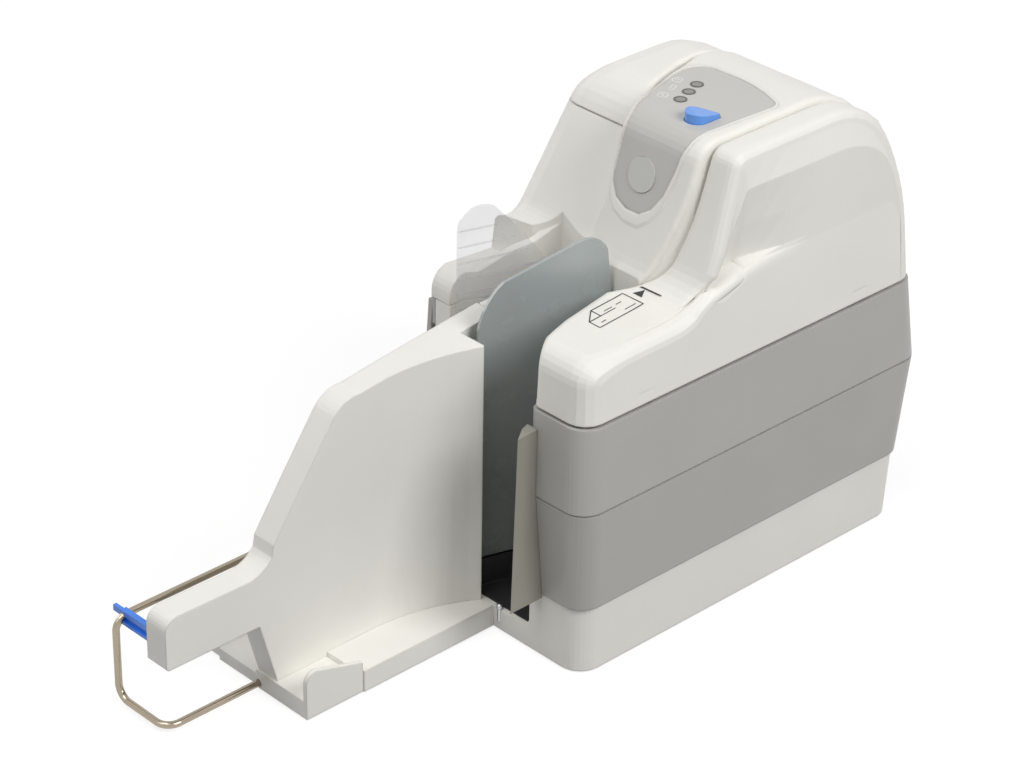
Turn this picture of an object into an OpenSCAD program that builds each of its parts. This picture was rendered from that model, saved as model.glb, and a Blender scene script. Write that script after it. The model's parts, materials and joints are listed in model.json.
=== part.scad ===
// Desktop cheque scanner with a document track that runs in at the left front,
// round the right end and out at the left rear. Millimetres, +Z up.
// The origin is the middle of the body's footprint on the desk.

/* [Body] */
// width of the body at the desk
body_w = 186; // [170:1:210]
// depth of the body at the desk
body_d = 118; // [110:1:130]
// height of the roof over the desk
roof_z = 198; // [190:1:210]
// height of the top seam, where the covers start
seam_z = 112.6; // [105:0.2:118]
// height of the mid seam, where the body is widest
mid_z = 75.4; // [68:0.2:82]
// height of the white base casing
base_z = 30.8; // [26:0.2:36]
// wall of the moulded housings
wall = 2.4; // [1.8:0.1:3]
// how far each end leans out from the desk to the mid seam
end_lean = 5.5; // [3:0.5:8]
// how far the front and the back lean out from the desk to the mid seam
face_lean = 3.5; // [2:0.5:5]
// how far the grey bands stand proud of the white mouldings
band_proud = 0.9; // [0.5:0.1:1.5]

/* [Covers] */
// height of the low flat part of the front cover
low_z = 138; // [134:1:142]
// depth of the tall part of the front cover
cover_d = 19.4; // [17:0.1:22]
// gap at every seam between covers
seam_gap = 0.6; // [0.4:0.1:1.2]
// depth of the low part of the front cover at its left end
low_d = 27.6; // [24:0.2:32]
// front wall of the track, measured from the front
track_y = 41.2; // [38:0.2:44]
// width of the track
track_gap = 3.5; // [3:0.1:5]

/* [Arm and tray] */
// reach of the divider arm to the left of the body
arm_reach = 148.4; // [130:1:170]
// back face of the arm, measured from the front
arm_back = 80; // [76:1:84]
// front face of the arm, measured from the front
arm_front = 68.5; // [66:0.5:72]
// height of the tray floor
floor_z = 10.5; // [8:0.5:14]
// reach of the tray to the left of the body
tray_reach = 97; // [85:1:110]

/* [Document track] */
// radius of the track's turn at the right end, to its inner wall
turn_r = 17.55; // [16:0.05:20]
// distance of the turn's centre from the left end
turn_x = 145; // [140:1:150]
// thickness of the track's walls
track_wall = 2; // [1.6:0.1:2.4]
// radius of the drive rollers
drive_r = 8; // [7:0.5:9]
// radius of the pinch rollers
pinch_r = 6; // [5:0.5:7]
// gap between a roller and the one it presses on
roller_gap = 0.3; // [0.25:0.05:0.5]
// radius of the pulleys on the roller shafts
pulley_r = 4.5; // [4:0.1:4.6]
// radius of the pulleys on the motors
motor_pulley_r = 3; // [2.5:0.1:3.5]

/* [Moving parts] */
// diameter of the bent wire stop
wire_d = 3; // [2.5:0.1:4]
// travel of the wire stop into the base
wire_travel = 40; // [20:1:42]
// travel of the feed button
button_travel = 1.2; // [0.8:0.1:2]
// running clearance round shafts
run_clear = 0.06; // [0.03:0.01:0.1]
// diameter of the roller shafts
shaft_d = 4; // [3:0.5:5]
// diameter of the hinge pins
pin_d = 1.6; // [1.4:0.1:2]
// diameter of the posts that the two guide plates turn on
post_d = 2.4; // [2:0.2:3]

/* [Which part] */
// node to show

/* [Hidden] */
$fn = 48;

white = [0.91, 0.90, 0.87];
grey = [0.66, 0.66, 0.65];
panel_grey = [0.73, 0.73, 0.71];
lip_grey = [0.62, 0.62, 0.58];
smoke = [0.45, 0.50, 0.52, 0.75];
clear = [0.85, 0.88, 0.90, 0.4];
blue = [0.20, 0.48, 0.90];
button_blue = [0.36, 0.60, 0.92];
rubber = [0.13, 0.13, 0.13];
green = [0.10, 0.34, 0.20];
copper = [0.75, 0.60, 0.30];
nickel = [0.78, 0.75, 0.68];
dark = [0.16, 0.16, 0.17];
steel = [0.70, 0.71, 0.73];

draft = tan(3.5);
end_r = 10;
cover_w = body_w + 3;
foot_h = 0.8;
casing_floor = floor_z + 3;
turn_y = track_y + track_gap + turn_r;
rear_y = turn_y + turn_r;

// moves a piece drawn from the body's front left corner to the shared frame
module at_corner() {
    translate([-body_w / 2, -body_d / 2, 0]) children();
}

function lerp(a, b, t) = a + (b - a) * t;
function clamp01(t) = max(0, min(1, t));
function smooth(t) = let (c = clamp01(t)) c * c * (3 - 2 * c);

// value at x on a polyline of [x, value] points
function along(pts, x) =
    x <= pts[0][0] ? pts[0][1] :
    x >= pts[len(pts) - 1][0] ? pts[len(pts) - 1][1] :
    let (k = max([for (i = [0 : len(pts) - 2]) if (pts[i][0] <= x) i]))
    lerp(pts[k][1], pts[k + 1][1], (x - pts[k][0]) / (pts[k + 1][0] - pts[k][0]));

// arc of points round a centre
function arc(cx, cz, rx, rz, a0, a1, n) =
    [for (i = [0 : n]) let (a = lerp(a0, a1, i / n)) [cx + rx * cos(a), cz + rz * sin(a)]];

// unit normal of a path that points into the body
function inward(p, i) =
    i == 0 ? [1, 0] :
    i == len(p) - 1 ? [-1, 0] :
    let (d = p[i + 1] - p[i - 1], l = norm(d)) [d[1] / l, -d[0] / l];

// x of the bottom edge under point i of a path, kept apart from its neighbours at both ends
function foot_x(path, i, x, r) =
    let (n = len(path), a = path[0][0] + r + 0.3 * (i + 1), b = path[n - 1][0] - r - 0.3 * (n - i))
    max(a, min(b, x));

function flat(rows) = [for (r = rows) each r];

// faces of a grid of n rows and m columns that starts at point k; two corner cells are cut the other way,
// because three of their points lie on the straight foot of the housing
function grid_faces(n, m, k, flip) = [
    for (i = [0 : n - 2], j = [0 : m - 2])
        let (a = k + i * m + j, b = a + 1, c = a + m, d = c + 1,
            other = (i == 0 && j == m - 2) || (i == n - 2 && j == 0),
            f = other ? [[a, b, c], [b, d, c]] : [[a, b, d], [a, d, c]])
        each (flip ? [for (t = f) [t[0], t[2], t[1]]] : f)];

// edge of a grid, in order round it
function grid_edge(n, m, k) = [
    for (j = [0 : m - 1]) k + j,
    for (i = [1 : n - 1]) k + i * m + m - 1,
    for (j = [m - 2 : -1 : 0]) k + (n - 1) * m + j,
    for (i = [n - 2 : -1 : 1]) k + i * m];

// shell between an outer and an inner grid of the same size
module grid_shell(outer, inner) {
    n = len(outer);
    m = len(outer[0]);
    e = grid_edge(n, m, 0);
    q = len(e);
    rim = [for (i = [0 : q - 1])
        let (a = e[i], b = e[(i + 1) % q], c = a + n * m, d = b + n * m)
        each [[a, d, b], [a, c, d]]];
    polyhedron(concat(flat(outer), flat(inner)),
        concat(grid_faces(n, m, 0, false), grid_faces(n, m, n * m, true), rim), convexity = 10);
}

// slab between two rectangles [x0, x1, y0, y1] with rounded corners
module leaning_slab(z0, a, z1, b, r) {
    hull() {
        for (k = [[z0, a, 0], [z1, b, -0.01]])
            translate([0, 0, k[0] + k[2]])
                linear_extrude(0.01)
                    for (x = [k[1][0] + r, k[1][1] - r], y = [k[1][2] + r, k[1][3] - r])
                        translate([x, y]) circle(r, $fn = 32);
    }
}

function desk_rect(o) = [-o, body_w + o, -o, body_d + o];
function mid_rect(o) =
    [-end_lean + 1.5 - o, body_w + end_lean + 1 + o, -face_lean - o, body_d + face_lean + o];
function top_rect(o) = [-0.8 - o, cover_w - 0.8 + o, -o, body_d + o];
function inset(r, t) = [r[0] + t, r[1] - t, r[2] + t, r[3] - t];
function base_rect(o) = [for (i = [0 : 3]) lerp(desk_rect(o)[i], mid_rect(o)[i], base_z / mid_z)];

// unit normal on the right-hand side of a direction
function nrm(d) = [d[1], -d[0]] / norm(d);

// mitred normal of a plan path at point i, on its right-hand side
function mitre(p, i) =
    let (a = i > 0 ? nrm(p[i] - p[i - 1]) : nrm(p[i + 1] - p[i]),
        b = i < len(p) - 1 ? nrm(p[i + 1] - p[i]) : a)
    (a + b) / (1 + a * b);

// wall of thickness t along a plan path, on its right-hand side (left-hand for a negative t)
module strip(p, t) {
    n = len(p);
    polygon(concat(p, [for (i = [n - 1 : -1 : 0]) p[i] + mitre(p, i) * t]));
}

// front edge of the slot and of the groove beside the centre housing
slot_line = [[-1, low_d], [10, 32.5], [22, 36.2], [34, 38.2], [50, 41.0], [54, 39], [58, 35.2], [62, 31],
    [66, 26.4], [70, 22.4], [75, cover_d + 0.3], [82, cover_d]];

// Plan of the document track: in at the left front, round the right end, out at the left rear.

slot_front = [[-2, 25.7], [0, low_d + 1], [10, 33.4], [22, 37], [34, 39], [50, track_y], [turn_x, track_y]];
turn_outer = arc(turn_x, turn_y, turn_r + track_gap, turn_r + track_gap, -90, 90, 16);
turn_inner = arc(turn_x, turn_y, turn_r, turn_r, -90, 90, 16);
rear_outer = [[137, rear_y + track_gap], [80, 65.3], [72, 65.2], [67, 68], [68, 74], [71, 87], [36, 106],
    [28, 106]];
rear_inner = [[137, rear_y], [80, 61.8], [70, 61.8], [64, 65], [57, 73], [50, arm_back], [18, arm_back]];
slot_back = [[18, 69.4], [24, 69.4], [50, 52.4], [60.5, 50], [60.5, track_y + track_gap],
    [turn_x, track_y + track_gap]];

outer_path = concat([[2.8, 30]], [for (i = [2 : len(slot_front) - 1]) slot_front[i]],
    [for (i = [1 : 16]) turn_outer[i]], rear_outer, [[28, 114.8]]);
inner_path = concat(slot_back, [for (i = [1 : 16]) turn_inner[i]], rear_inner);

function reversed(p) = [for (i = [len(p) - 1 : -1 : 0]) p[i]];

module track_plan() {
    polygon(concat([[-40, 14], [-6, 20]], slot_front, [for (i = [1 : 16]) turn_outer[i]], rear_outer,
        [[28, 140], [-40, 140], [-40, arm_back]], reversed(rear_inner),
        [for (i = [16 : -1 : 1]) turn_inner[i]], reversed(slot_back), [[-40, 69.4]]));
    translate([-40, 60]) square([58, 30]);
}

// the part of the slot that is open to the sky, up to the mouth under the centre housing
module mouth_plan() {
    polygon([[-40, -10], [60.5, -10], [60.5, 50], [50, 52.4], [24, 69.4], [-40, 69.4]]);
}

// Base and bands.

tray_foot_x = 11 - tray_reach;
feet = [[16, 14], [body_w - 16, 14], [body_w - 16, body_d - 14], [44, body_d - 14], [body_w / 2, body_d / 2],
    [tray_foot_x, 60], [tray_foot_x, 96]];
screws = [[30, 14], [body_w - 30, 14], [body_w - 30, body_d - 14], [64, body_d - 14]];

// centres of the rollers in plan
feed_c = [70, track_y + 1.6 - 12];
drive_y = track_y + track_gap - 1.6 + drive_r;
pinch_y = drive_y - drive_r - roller_gap - pinch_r;
left_x = 90;
right_x = 140;
exit_dir = [57, rear_y - 61.8] / norm([57, rear_y - 61.8]);
exit_in = [exit_dir[1], -exit_dir[0]];
exit_at = [80, 61.8] + exit_dir * 50;
exit_c = exit_at + exit_in * (drive_r - 1.6);
exit_pinch_c = exit_at - exit_in * (1.6 + roller_gap + pinch_r);
motor_c = [115, 56.1];
feed_motor_c = [100, 22];

module each_shaft() {
    for (c = [feed_c, [left_x, drive_y], [right_x, drive_y], exit_c])
        translate([c[0], c[1], 0]) children();
}

module each_pinch() {
    for (c = [[left_x, pinch_y], [right_x, pinch_y], exit_pinch_c])
        translate([c[0], c[1], 0]) children();
}

feeder_from = [1.9, 65];
feeder_to = [60, 47.6];
guide_from = [26.2, 100.4];
guide_to = [61.4, 84];
guide_l = norm([61.4, 84] - guide_from) - 1.6;

module base_casing() {
    color(white) at_corner() difference() {
        leaning_slab(foot_h, desk_rect(0), base_z - 0.1, base_rect(-band_proud), end_r);
        translate([0, 0, casing_floor]) difference() {
            leaning_slab(0, base_rect(-band_proud - wall), 40, base_rect(-band_proud - wall), end_r - wall);
            translate([0, 0, -1]) linear_extrude(60)
                polygon([[-20, 60], [18, 60], [18, 90], [28, 104], [28, 140], [-20, 140]]);
        }
        translate([0, 0, floor_z]) linear_extrude(40) track_plan();
        translate([-10, 49, -1]) cube([14, 31, floor_z + 1]);
        translate([-10, 80, -1]) cube([14, 33.5, 7]);
        each_shaft() translate([0, 0, 8]) cylinder(d = shaft_d + 2 * run_clear, h = 10);
        each_pinch() translate([0, 0, 9]) cylinder(d = 4.6, h = 10);
        translate([motor_c[0], motor_c[1], casing_floor - 1]) cylinder(r = 9, h = 4);
        translate([feed_motor_c[0], feed_motor_c[1], casing_floor - 1]) cylinder(r = 11, h = 4);
        translate([feeder_from[0], feeder_from[1], 6]) cylinder(d = post_d, h = 10);
        translate([guide_to[0], guide_to[1], 6]) cylinder(d = post_d, h = 10);
        translate([pin_at[0], pin_at[1], 5]) cylinder(r = 1, h = 10);
        for (f = [0 : 4]) translate([feet[f][0], feet[f][1], 0]) cylinder(d = 12, h = 2.8);
        for (q = screws) translate([q[0], q[1], 0]) cylinder(d = 6, h = 4);
    }
}

module band(z0, a, z1, b) {
    difference() {
        leaning_slab(z0, a, z1, b, end_r);
        translate([0, 0, -0.1]) leaning_slab(z0, inset(a, wall), z1 + 0.2, inset(b, wall), end_r - wall);
        linear_extrude(200) track_plan();
    }
}

usb_at = [140, 40];
power_at = [158, 44];

module lower_band() {
    color(grey) at_corner() difference() {
        band(base_z, base_rect(0), mid_z - 0.25, mid_rect(0));
        translate([usb_at[0] - 6, body_d - 8, usb_at[1] - 5.5]) cube([12, 14, 11]);
        translate([power_at[0], body_d + 6, power_at[1]]) rotate([90, 0, 0]) cylinder(d = 9, h = 14);
    }
}

// height where the upper band stops under the covers
band_top = seam_z - 1.2;
// line that the front cover turns on
hinge_y = 2.4;
hinge_z = seam_z + 2.4;
hinge_at = [28, 150];
knuckle_r = 1.7;

module upper_band() {
    color(grey) at_corner() {
        band(mid_z + 0.25, mid_rect(0), band_top, top_rect(band_proud));
        difference() {
            translate([0, 0, 101]) difference() {
                leaning_slab(0, inset(top_rect(0), 1.4), seam_z - 101, inset(top_rect(0), 1.4), end_r - 1.4);
                translate([0, 0, -1])
                    leaning_slab(0, inset(top_rect(0), 3), 20, inset(top_rect(0), 3), end_r - 3);
            }
            linear_extrude(200) track_plan();
            translate([-20, -20, band_top - 0.3]) cube([300, 64, 20]);
        }
        for (x = hinge_at) translate([x, 0, 0]) difference() {
            union() {
                intersection() {
                    translate([0, hinge_y, hinge_z]) rotate([0, 90, 0]) cylinder(r = knuckle_r, h = 8);
                    translate([0, 1, 100]) cube([8, 20, 20]);
                }
                translate([0, hinge_y, hinge_z - 1.2]) cube([8, 5.8, 2.4]);
                translate([0, 5.8, hinge_z - 13.6]) cube([8, 2.4, 13.6]);
                translate([0, 0.6, hinge_z - 14.6]) cube([8, 7, 3]);
            }
            translate([-1, hinge_y, hinge_z]) rotate([0, 90, 0]) cylinder(d = pin_d + 2 * run_clear, h = 10);
        }
    }
}

// Tray and arm.

wire_y = 78.6;
wire_back_y = 107.9;
wire_low_z = 3.2;
wire_high_z = 38.9;
wire_x = -142.2;
bend_r = 6;

module wire_bore(x0, x1) {
    translate([x0, wire_y, wire_low_z]) rotate([0, 90, 0]) cylinder(d = wire_d + 2 * run_clear, h = x1 - x0);
}

module tray() {
    color(white) at_corner() difference() {
        union() {
            translate([-70.6, 49, foot_h]) cube([74.6, 31, floor_z - foot_h]);
            translate([1 - tray_reach, 80, foot_h]) cube([tray_reach + 3, 24, 6 - foot_h]);
            translate([2.4 - tray_reach, 104.4, foot_h]) cube([tray_reach + 1.6, 9, 5.6 - foot_h]);
            translate([2.4 - tray_reach, 103, foot_h]) cube([tray_reach + 1.6, 3, 4.6 - foot_h]);
        }
        wire_bore(-97, -3);
        translate([-70.7, 48, -1]) cube([2.2, 3.7, 20]);
        translate([feeder_from[0], feeder_from[1], 0]) cylinder(d = post_d, h = 20);
        translate([feet[6][0], feet[6][1], 0]) cylinder(d = 12, h = 2.8);
    }
}

module tray_end() {
    color(white) at_corner() difference() {
        union() {
            translate([-tray_reach, 49.6, foot_h]) cube([tray_reach - 70.6, 30.4, 8.6 - foot_h]);
            translate([-tray_reach, 51.6, foot_h]) rotate([90, 0, 0]) linear_extrude(2)
                polygon(concat([[0, 0], [tray_reach - 68.6, 0], [tray_reach - 68.6, 13.4]],
                    arc(5, 15.6, 5, 5, 95, 180, 6)));
        }
        wire_bore(-tray_reach - 1, -70);
        translate([feet[5][0], feet[5][1], 0]) cylinder(d = 12, h = 2.8);
    }
}

// how far the arm's front face flares forward to the body
arm_flare = 13.2;

function arm_profile() = concat(
    [[18, floor_z], [18, 128.7], [-1.6, 126.4], [-36.3, 122.1]],
    arc(-54, 104, 15, 16, 82, 146, 8),
    [[-82, 91], [-96, 70.6]],
    arc(-109.5, 75.5, 16, 16, -38, -86, 6),
    [[-142, 59.8]],
    arc(-arm_reach + 6, 53.8, 6, 6, 96, 180, 6),
    [[-arm_reach, 38.2], [0.8 - arm_reach, 37.4], [-103.8, 37.4], [-95.8, 8.6], [-70.6, 8.6],
        [-70.6, floor_z]]);

module divider_arm() {
    color(white) at_corner() {
        intersection() {
            translate([0, arm_back, 0]) rotate([90, 0, 0]) linear_extrude(30) polygon(arm_profile());
            linear_extrude(200)
                polygon(concat([[-160, arm_front]],
                    [for (t = [0 : 0.1 : 1]) [lerp(-48, -1, t), arm_front - arm_flare * pow(t, 2.2)]],
                    [[-0.4, 56], [-0.4, 69.4], [18, 69.4], [18, arm_back], [-160, arm_back]]));
        }
    }
}

module feeder_lip() {
    color(lip_grey) at_corner() difference() {
        hull() {
            translate([-18.6, 20, 29]) linear_extrude(0.1) polygon([[0, 0], [18, 0], [18, 6], [7, 5]]);
            translate([-13.4, 23, 104]) linear_extrude(0.1) polygon([[0, 0], [14, 1], [13, 7], [7, 5]]);
        }
        leaning_slab(0, desk_rect(0.1), mid_z, mid_rect(0.1), end_r);
        leaning_slab(mid_z, mid_rect(0.1), seam_z, top_rect(band_proud + 0.1), end_r);
    }
}

// Front cover.

end_cx = cover_w - 51;

// profile of the right end, from the roof down to the seam
function end_curve(top) = concat(arc(end_cx, top - 61, 51, 61, 90, 0, 12),
    [[cover_w, seam_z + 12], [cover_w, seam_z]]);

fillet_r = 20;
slope_a = 72;
fillet_end = [50 + fillet_r * sin(slope_a), low_z + 0.6 + fillet_r * (1 - cos(slope_a))];
crown_r = 7;
crown_z = roof_z - 0.2 - crown_r;
slope_end_z = crown_z + crown_r * cos(slope_a);
slope_end_x = fillet_end[0] + (slope_end_z - fillet_end[1]) / tan(slope_a);

front_path = concat(
    [[0, seam_z], [0, seam_z + 12]],
    arc(end_r - 0.5, low_z - end_r + 0.5, end_r - 0.5, end_r - 0.5, 180, 90, 6),
    [[16, low_z], [24, low_z + 0.1], [34, low_z + 0.3], [42, low_z + 0.45]],
    arc(50, low_z + 0.6 + fillet_r, fillet_r, fillet_r, -90, slope_a - 90, 8),
    [for (t = [0.2, 0.4, 0.6, 0.8])
        [lerp(fillet_end[0], slope_end_x, t), lerp(fillet_end[1], slope_end_z, t)]],
    arc(slope_end_x + crown_r * sin(slope_a), crown_z, crown_r, crown_r, 90 + slope_a, 90, 5),
    [[98, roof_z - 0.1], [110, roof_z], [124, roof_z]],
    end_curve(roof_z));

// depth of the scoop over the ledge, and height of the ledge
function scoop(u) = 13 * pow(clamp01((118 - u) / 52), 1.3);
function ledge_z(u) = low_z + 12.5 * smooth((u - 46) / 50);

// radius of the front edge: larger on the upright corners at both ends
function front_r(u) = u < 60 ? lerp(9, 5.5, smooth((u - 6) / 16)) : lerp(4.5, 9, smooth((u - 150) / 36));

// lean of the ends, as a shear that fades out along the body
function end_shear(u, z) =
    (z - seam_z) * (0.05 * clamp01(1 - u / 24) - 0.085 * clamp01((u - cover_w + 20) / 20));

function front_row(path, i, t) =
    let (n = inward(path, i),
        p = path[i] + n * t,
        u = p[0],
        zt = p[1],
        zs = u < 100 ? min(zt, ledge_z(u)) : min(ledge_z(u) - t, lerp(seam_z, zt, 0.72)),
        h = zt - zs,
        grown = u > 100 ? 1 : clamp01(h / 10),
        r = max(1, front_r(u) - t),
        s = scoop(u),
        last = i == len(path) - 1 ? 1 : 0,
        yb = along(slot_line, u) - t,
        ledge_r = r * clamp01((118 - u) / 50),
        y0 = t + draft * (zs - seam_z),
        edge = [for (q = [0, 22.5, 45, 67.5, 90])
            let (d = r * (1 - sin(q)))
            [u + n[0] * lerp(d, r, grown), lerp(zt + n[1] * d, zs - d * clamp01((zs - seam_z) / 20), grown),
                lerp(r, ledge_r, grown) * (1 - cos(q)), q / 900 - 0.24]],
        crown = [for (q = [0, 22.5, 45, 67.5, 90])
            let (d = r * (1 - sin(q)) * grown)
            [u + n[0] * d, zt + n[1] * d, r * (1 - cos(q))]],
        back = [for (q = [90, 60, 30, 0])
            let (d = 3 * (1 - sin(q)))
            [u + n[0] * d, zt + n[1] * d, yb - 3 * (1 - cos(q))]])
    [
        [foot_x(path, i, u + n[0] * r, 9), t, seam_z],
        for (e = edge) [e[0] + last * e[3], t + draft * (e[1] - seam_z) + e[2], e[1]],
        [u + n[0] * r * grown - last * 0.11, y0 + lerp(r + 1, s, grown), lerp(zs, zt, 0.04)],
        [u + n[0] * r * grown - last * 0.08, y0 + lerp(r + 1.7, s * 0.6, grown), lerp(zs, zt, 0.35)],
        [u + n[0] * r * grown - last * 0.05, y0 + lerp(r + 2.4, s * 0.2, grown), lerp(zs, zt, 0.7)],
        for (c = crown) [c[0], t + draft * (zt - seam_z) + c[2] + lerp(r + 3, 0, grown), c[1]],
        for (b = back) [b[0], b[2], b[1]],
        [foot_x(path, i, u + n[0] * 3, 3 + t), yb, seam_z]
    ];

function front_grid(t) = [for (i = [0 : len(front_path) - 1])
    [for (p = front_row(front_path, i, t)) [p[0] + end_shear(p[0], p[2]), p[1], p[2]]]];

module front_cover() {
    color(white) at_corner() difference() {
        union() {
            translate([-0.8, 0, 0]) grid_shell(front_grid(0), front_grid(wall));
            for (x = hinge_at, q = [-6.4, 8.4]) translate([x + q, hinge_y, hinge_z]) rotate([0, 90, 0])
                cylinder(r = knuckle_r, h = 6);
        }
        for (x = hinge_at) {
            translate([x - 0.4, 0.55, hinge_z - 11.6]) cube([8.8, 6, 14.4]);
            translate([x - 7, hinge_y, hinge_z]) rotate([0, 90, 0]) cylinder(d = pin_d, h = 22);
        }
    }
}

module cover_hinge_pins() {
    color(steel) at_corner() for (x = hinge_at) translate([x - 6.4, hinge_y, hinge_z]) rotate([0, 90, 0])
        cylinder(d = pin_d, h = 20.8);
}

// Centre and rear housings.

// row of a plain housing: faces front(u, z) and back(u, z), with edge radii rf(u) and rb(u)
function plain_row(path, i, z0, front, back, rf, rb) =
    let (n = inward(path, i), u = path[i][0], zt = path[i][1], f = rf(u), b = rb(u))
    [
        [foot_x(path, i, u + n[0] * f, f), front(u, z0), z0],
        for (q = [0, 22.5, 45, 67.5, 90])
            let (d = f * (1 - sin(q)))
            [u + n[0] * d, front(u, zt) + f * (1 - cos(q)), zt + n[1] * d],
        for (q = [90, 67.5, 45, 22.5, 0])
            let (d = b * (1 - sin(q)))
            [u + n[0] * d, back(u, zt) - b * (1 - cos(q)), zt + n[1] * d],
        [foot_x(path, i, u + n[0] * b, b), back(u, z0), z0]
    ];

function plain_grid(path, z0, front, back, rf, rb) = [for (i = [0 : len(path) - 1])
    [for (p = plain_row(path, i, z0, front, back, rf, rb))
        [p[0] + end_shear(max(30, p[0]), p[2]), p[1], p[2]]]];

// solid under a grid, closed by a flat bottom
module grid_solid(g) {
    n = len(g);
    m = len(g[0]);
    k = (n - 1) * m;
    foot = [for (i = [0 : n - 2]) let (a = i * m, b = a + m - 1, c = a + m, d = b + m)
        each [[a, c, d], [a, d, b]]];
    polyhedron(flat(g), concat(grid_faces(n, m, 0, false), foot,
        [[for (j = [m - 1 : -1 : 0]) j], [for (j = [0 : m - 1]) k + j]]), convexity = 10);
}

// path moved by t towards the inside of the body
function shifted(path, t) = [for (i = [0 : len(path) - 1]) path[i] + inward(path, i) * t];

c_fillet = 22;
c_slope = 73;
c_foot = [43, 132.6];
c_end = [c_foot[0] + c_fillet * sin(c_slope), c_foot[1] + c_fillet * (1 - cos(c_slope))];
c_crown = 12;
c_top = roof_z + 1.2;
c_crown_z = c_top - c_crown;
c_slope_top = [c_end[0] + (c_crown_z + c_crown * cos(c_slope) - c_end[1]) / tan(c_slope),
    c_crown_z + c_crown * cos(c_slope)];
centre_path = concat(
    [[19, seam_z], [19, 128.8], [24, 129.4], [30, 130.2], [36, 131.4]],
    arc(c_foot[0], c_foot[1] + c_fillet, c_fillet, c_fillet, -88, c_slope - 90, 8),
    [for (t = [0.2, 0.4, 0.6, 0.8]) [lerp(c_end[0], c_slope_top[0], t), lerp(c_end[1], c_slope_top[1], t)]],
    arc(c_slope_top[0] + c_crown * sin(c_slope), c_crown_z, c_crown, c_crown, 90 + c_slope, 90, 6),
    [[100, c_top], [112, c_top], [126, c_top]],
    end_curve(c_top));

centre_front = [[19, 34], [50, 34], [58, 35.8], [62, 31.6], [66, 27.0],
    [70, 23.0], [75, cover_d + seam_gap + 0.3], [82, cover_d + seam_gap]];
centre_back = [[19, arm_back], [50, arm_back], [57, 73], [64, 65], [70, 61.8], [80, 61.8], [137, 80],
    [cover_w, 80]];
rear_front = [[60, 69], [66, 66], [72, 65.2], [80, 65.2], [132, 81.4], [150, 80.8], [cover_w, 80.8]];

function rear_lean(z) = body_d - max(0, z - seam_z) * tan(5.5);

module centre_block(t, r) {
    grid_solid(plain_grid(shifted(centre_path, t), seam_z, function(u, z) along(centre_front, u) + t,
        function(u, z) along(centre_back, u) - t, function(u) r, function(u) r));
}

// outline of the panel: points on the slope first, then round the roof
panel_line = concat(
    [[67.9, 42.2], [69, 36.9], [71, 32.6], [74.1, 29.8], [77.9, 27.9], [81.5, 27.2], [86.2, 26.3],
        [102.6, 25.6]],
    arc(121.5, 30.5, 6, 6, -86, -16, 5),
    [[129.8, 36], [131.6, 44], [132.3, 52], [131.8, 58.5]],
    arc(123, 63, 8.8, 9.4, 10, 95, 6),
    [[115.2, 71.4], [106, 69.6], [97.8, 66.9], [89.5, 63.6], [83.4, 61.2], [78.1, 60], [74.5, 59.7],
        [71.6, 59.6], [70.3, 58.7], [68.7, 55.4], [67.9, 49.5]]);

button_c = [92.8, 36.9];
button_r = 4.8;
button_turn = -28;
button_tip = 9.2;
led_at = [[101.1, 53.8], [108.6, 56.5], [115.9, 59.1]];

// drop shape of the button, round at the left and pointed at the right
module button_plan(g) {
    translate(button_c) rotate(button_turn) {
        circle(button_r + g);
        polygon([[0, button_r + g], [4, button_r - 1.4 + g], [button_tip + 1.5 * g, 0.5],
            [button_tip + 1.5 * g, -0.5], [4, 1.4 - button_r - g], [0, -button_r - g]]);
    }
}

module panel_prism(grow) {
    translate([0, 0, 130]) linear_extrude(90)
        strip_out(panel_line, grow);
}

// closed outline moved outward by g
module strip_out(p, g) {
    n = len(p);
    polygon([for (i = [0 : n - 1])
        let (a = nrm(p[i] - p[(i + n - 1) % n]), b = nrm(p[(i + 1) % n] - p[i]))
        p[i] + (a + b) / (1 + a * b) * g]);
}

// plain round badge on the sloping part of the panel
badge_z = 178.9;
badge_at = [c_end[0] - 0.8 + (badge_z - c_end[1]) / tan(c_slope), 45.7, badge_z];
badge_d = 14;

module on_slope() {
    translate(badge_at) rotate([0, -c_slope, 0]) children();
}

module panel_badge() {
    color(panel_grey) at_corner() on_slope() translate([0, 0, -0.5]) cylinder(d = badge_d, h = 1);
}

module centre_housing() {
    color(white) at_corner() difference() {
        union() {
            translate([-0.8, 0, 0]) centre_block(0, 2.5);
            intersection() {
                translate([-0.8, 0, 0]) centre_block(-0.5, 2.5);
                panel_prism(1.4);
            }
        }
        intersection() {
            difference() {
                translate([-0.8, 0, 150]) cube([200, 100, 60]);
                translate([-0.8, 0, 0]) centre_block(1.4, 1.5);
            }
            panel_prism(0);
        }
        linear_extrude(300) mouth_plan();
        translate([84, 29, 100]) cube([50, 36, 94]);
        translate([0, 0, 180]) linear_extrude(30) button_plan(0.3);
        for (q = led_at) translate([q[0], q[1], 180]) cylinder(d = 4, h = 30);
    }
}

module control_panel() {
    color(panel_grey) at_corner() difference() {
        intersection() {
            difference() {
                translate([-0.8, 0, 0]) centre_block(0, 2.5);
                translate([-0.8, 0, 0]) centre_block(1.4, 1.5);
            }
            panel_prism(-0.02);
            translate([0, 0, 150]) cube([200, 100, 60]);
        }
        on_slope() translate([0, 0, -0.5]) cylinder(d = badge_d + 0.1, h = 3);
        translate([0, 0, 180]) linear_extrude(30) button_plan(0.3);
        for (q = led_at) translate([q[0], q[1], 180]) cylinder(d = 4, h = 30);
    }
}

r_split = 183.2;
r_slope = 60.5;
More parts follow.
